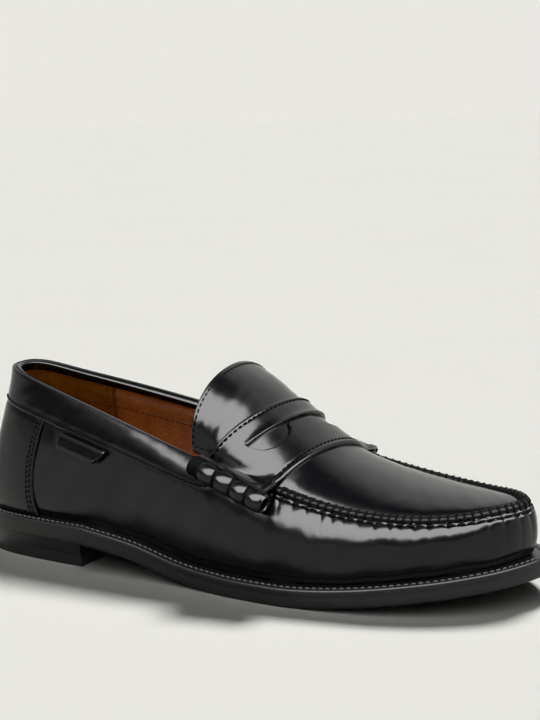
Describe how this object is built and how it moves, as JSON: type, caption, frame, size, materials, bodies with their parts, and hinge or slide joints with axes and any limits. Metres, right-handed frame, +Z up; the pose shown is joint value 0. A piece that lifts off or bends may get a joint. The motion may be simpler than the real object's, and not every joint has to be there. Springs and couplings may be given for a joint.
{
  "type": "penny loafer",
  "caption": "Slip-on leather loafer for a right foot: moccasin apron, slotted saddle strap ending in thread-wrapped rolls, stacked low heel, small folded side tab.",
  "frame": {"origin": "middle of the footprint, on the floor", "axes": "+X from heel to toe, +Z up, +Y towards the inner side of the foot"},
  "size_m": [0.303, 0.1092, 0.1018],
  "materials": {
    "black_leather": "high gloss, smooth",
    "black_edge": "semi-matt black edge dressing",
    "tan_leather": "fine grain, matt",
    "tan_suede": "suede nap",
    "fibre_board": "pressed fibre, matt",
    "cork": "granular, matt",
    "cotton_backing": "plain weave",
    "spring_steel": "brushed",
    "black_rubber": "matt",
    "black_thread": "waxed thread"
  },
  "bodies": {
    "shoe": {"vamp": "black_leather", "heel_counter": "fibre_board", "toe_puff": "fibre_board", "side_backing_lateral": "cotton_backing", "side_backing_medial": "cotton_backing", "heel_grip_lining": "tan_suede", "quarter_lining_lateral": "tan_leather", "quarter_lining_medial": "tan_leather", "vamp_lining": "tan_leather", "apron": "black_leather", "apron_lining": "tan_leather", "heel_foxing": "black_leather", "collar_band": "black_leather", "beef_roll_lateral": "black_leather", "beef_roll_medial": "black_leather", "saddle_strap": "black_leather", "welt": "black_edge", "outsole": "black_rubber", "cork_filler": "cork", "heel_filler": "cork", "waist_filler": "cork", "steel_shank": "spring_steel", "insole_board": "fibre_board", "sock_liner": "tan_leather", "heel_base": "black_edge", "top_lift": "black_rubber", "welt_stitch_thread": "black_thread", "apron_seam_thread": "black_thread", "collar_stitch_thread": "black_thread", "roll_wrap_lateral_1": "black_thread", "roll_wrap_lateral_2": "black_thread", "roll_wrap_lateral_3": "black_thread", "roll_wrap_lateral_4": "black_thread", "roll_wrap_medial_1": "black_thread", "roll_wrap_medial_2": "black_thread", "roll_wrap_medial_3": "black_thread", "roll_wrap_medial_4": "black_thread"},
    "tab": {"side_tab": "black_leather"}
  },
  "joints": [
    {"name": "tab_hinge", "type": "hinge", "parent": "shoe", "child": "tab", "pos_m": [-0.07706, -0.0312, 0.06211], "axis": [-0.9596, 0.1932, 0.2046], "range_deg": [0, 60], "stiffness_Nm_per_rad": 0.02}
  ]
}
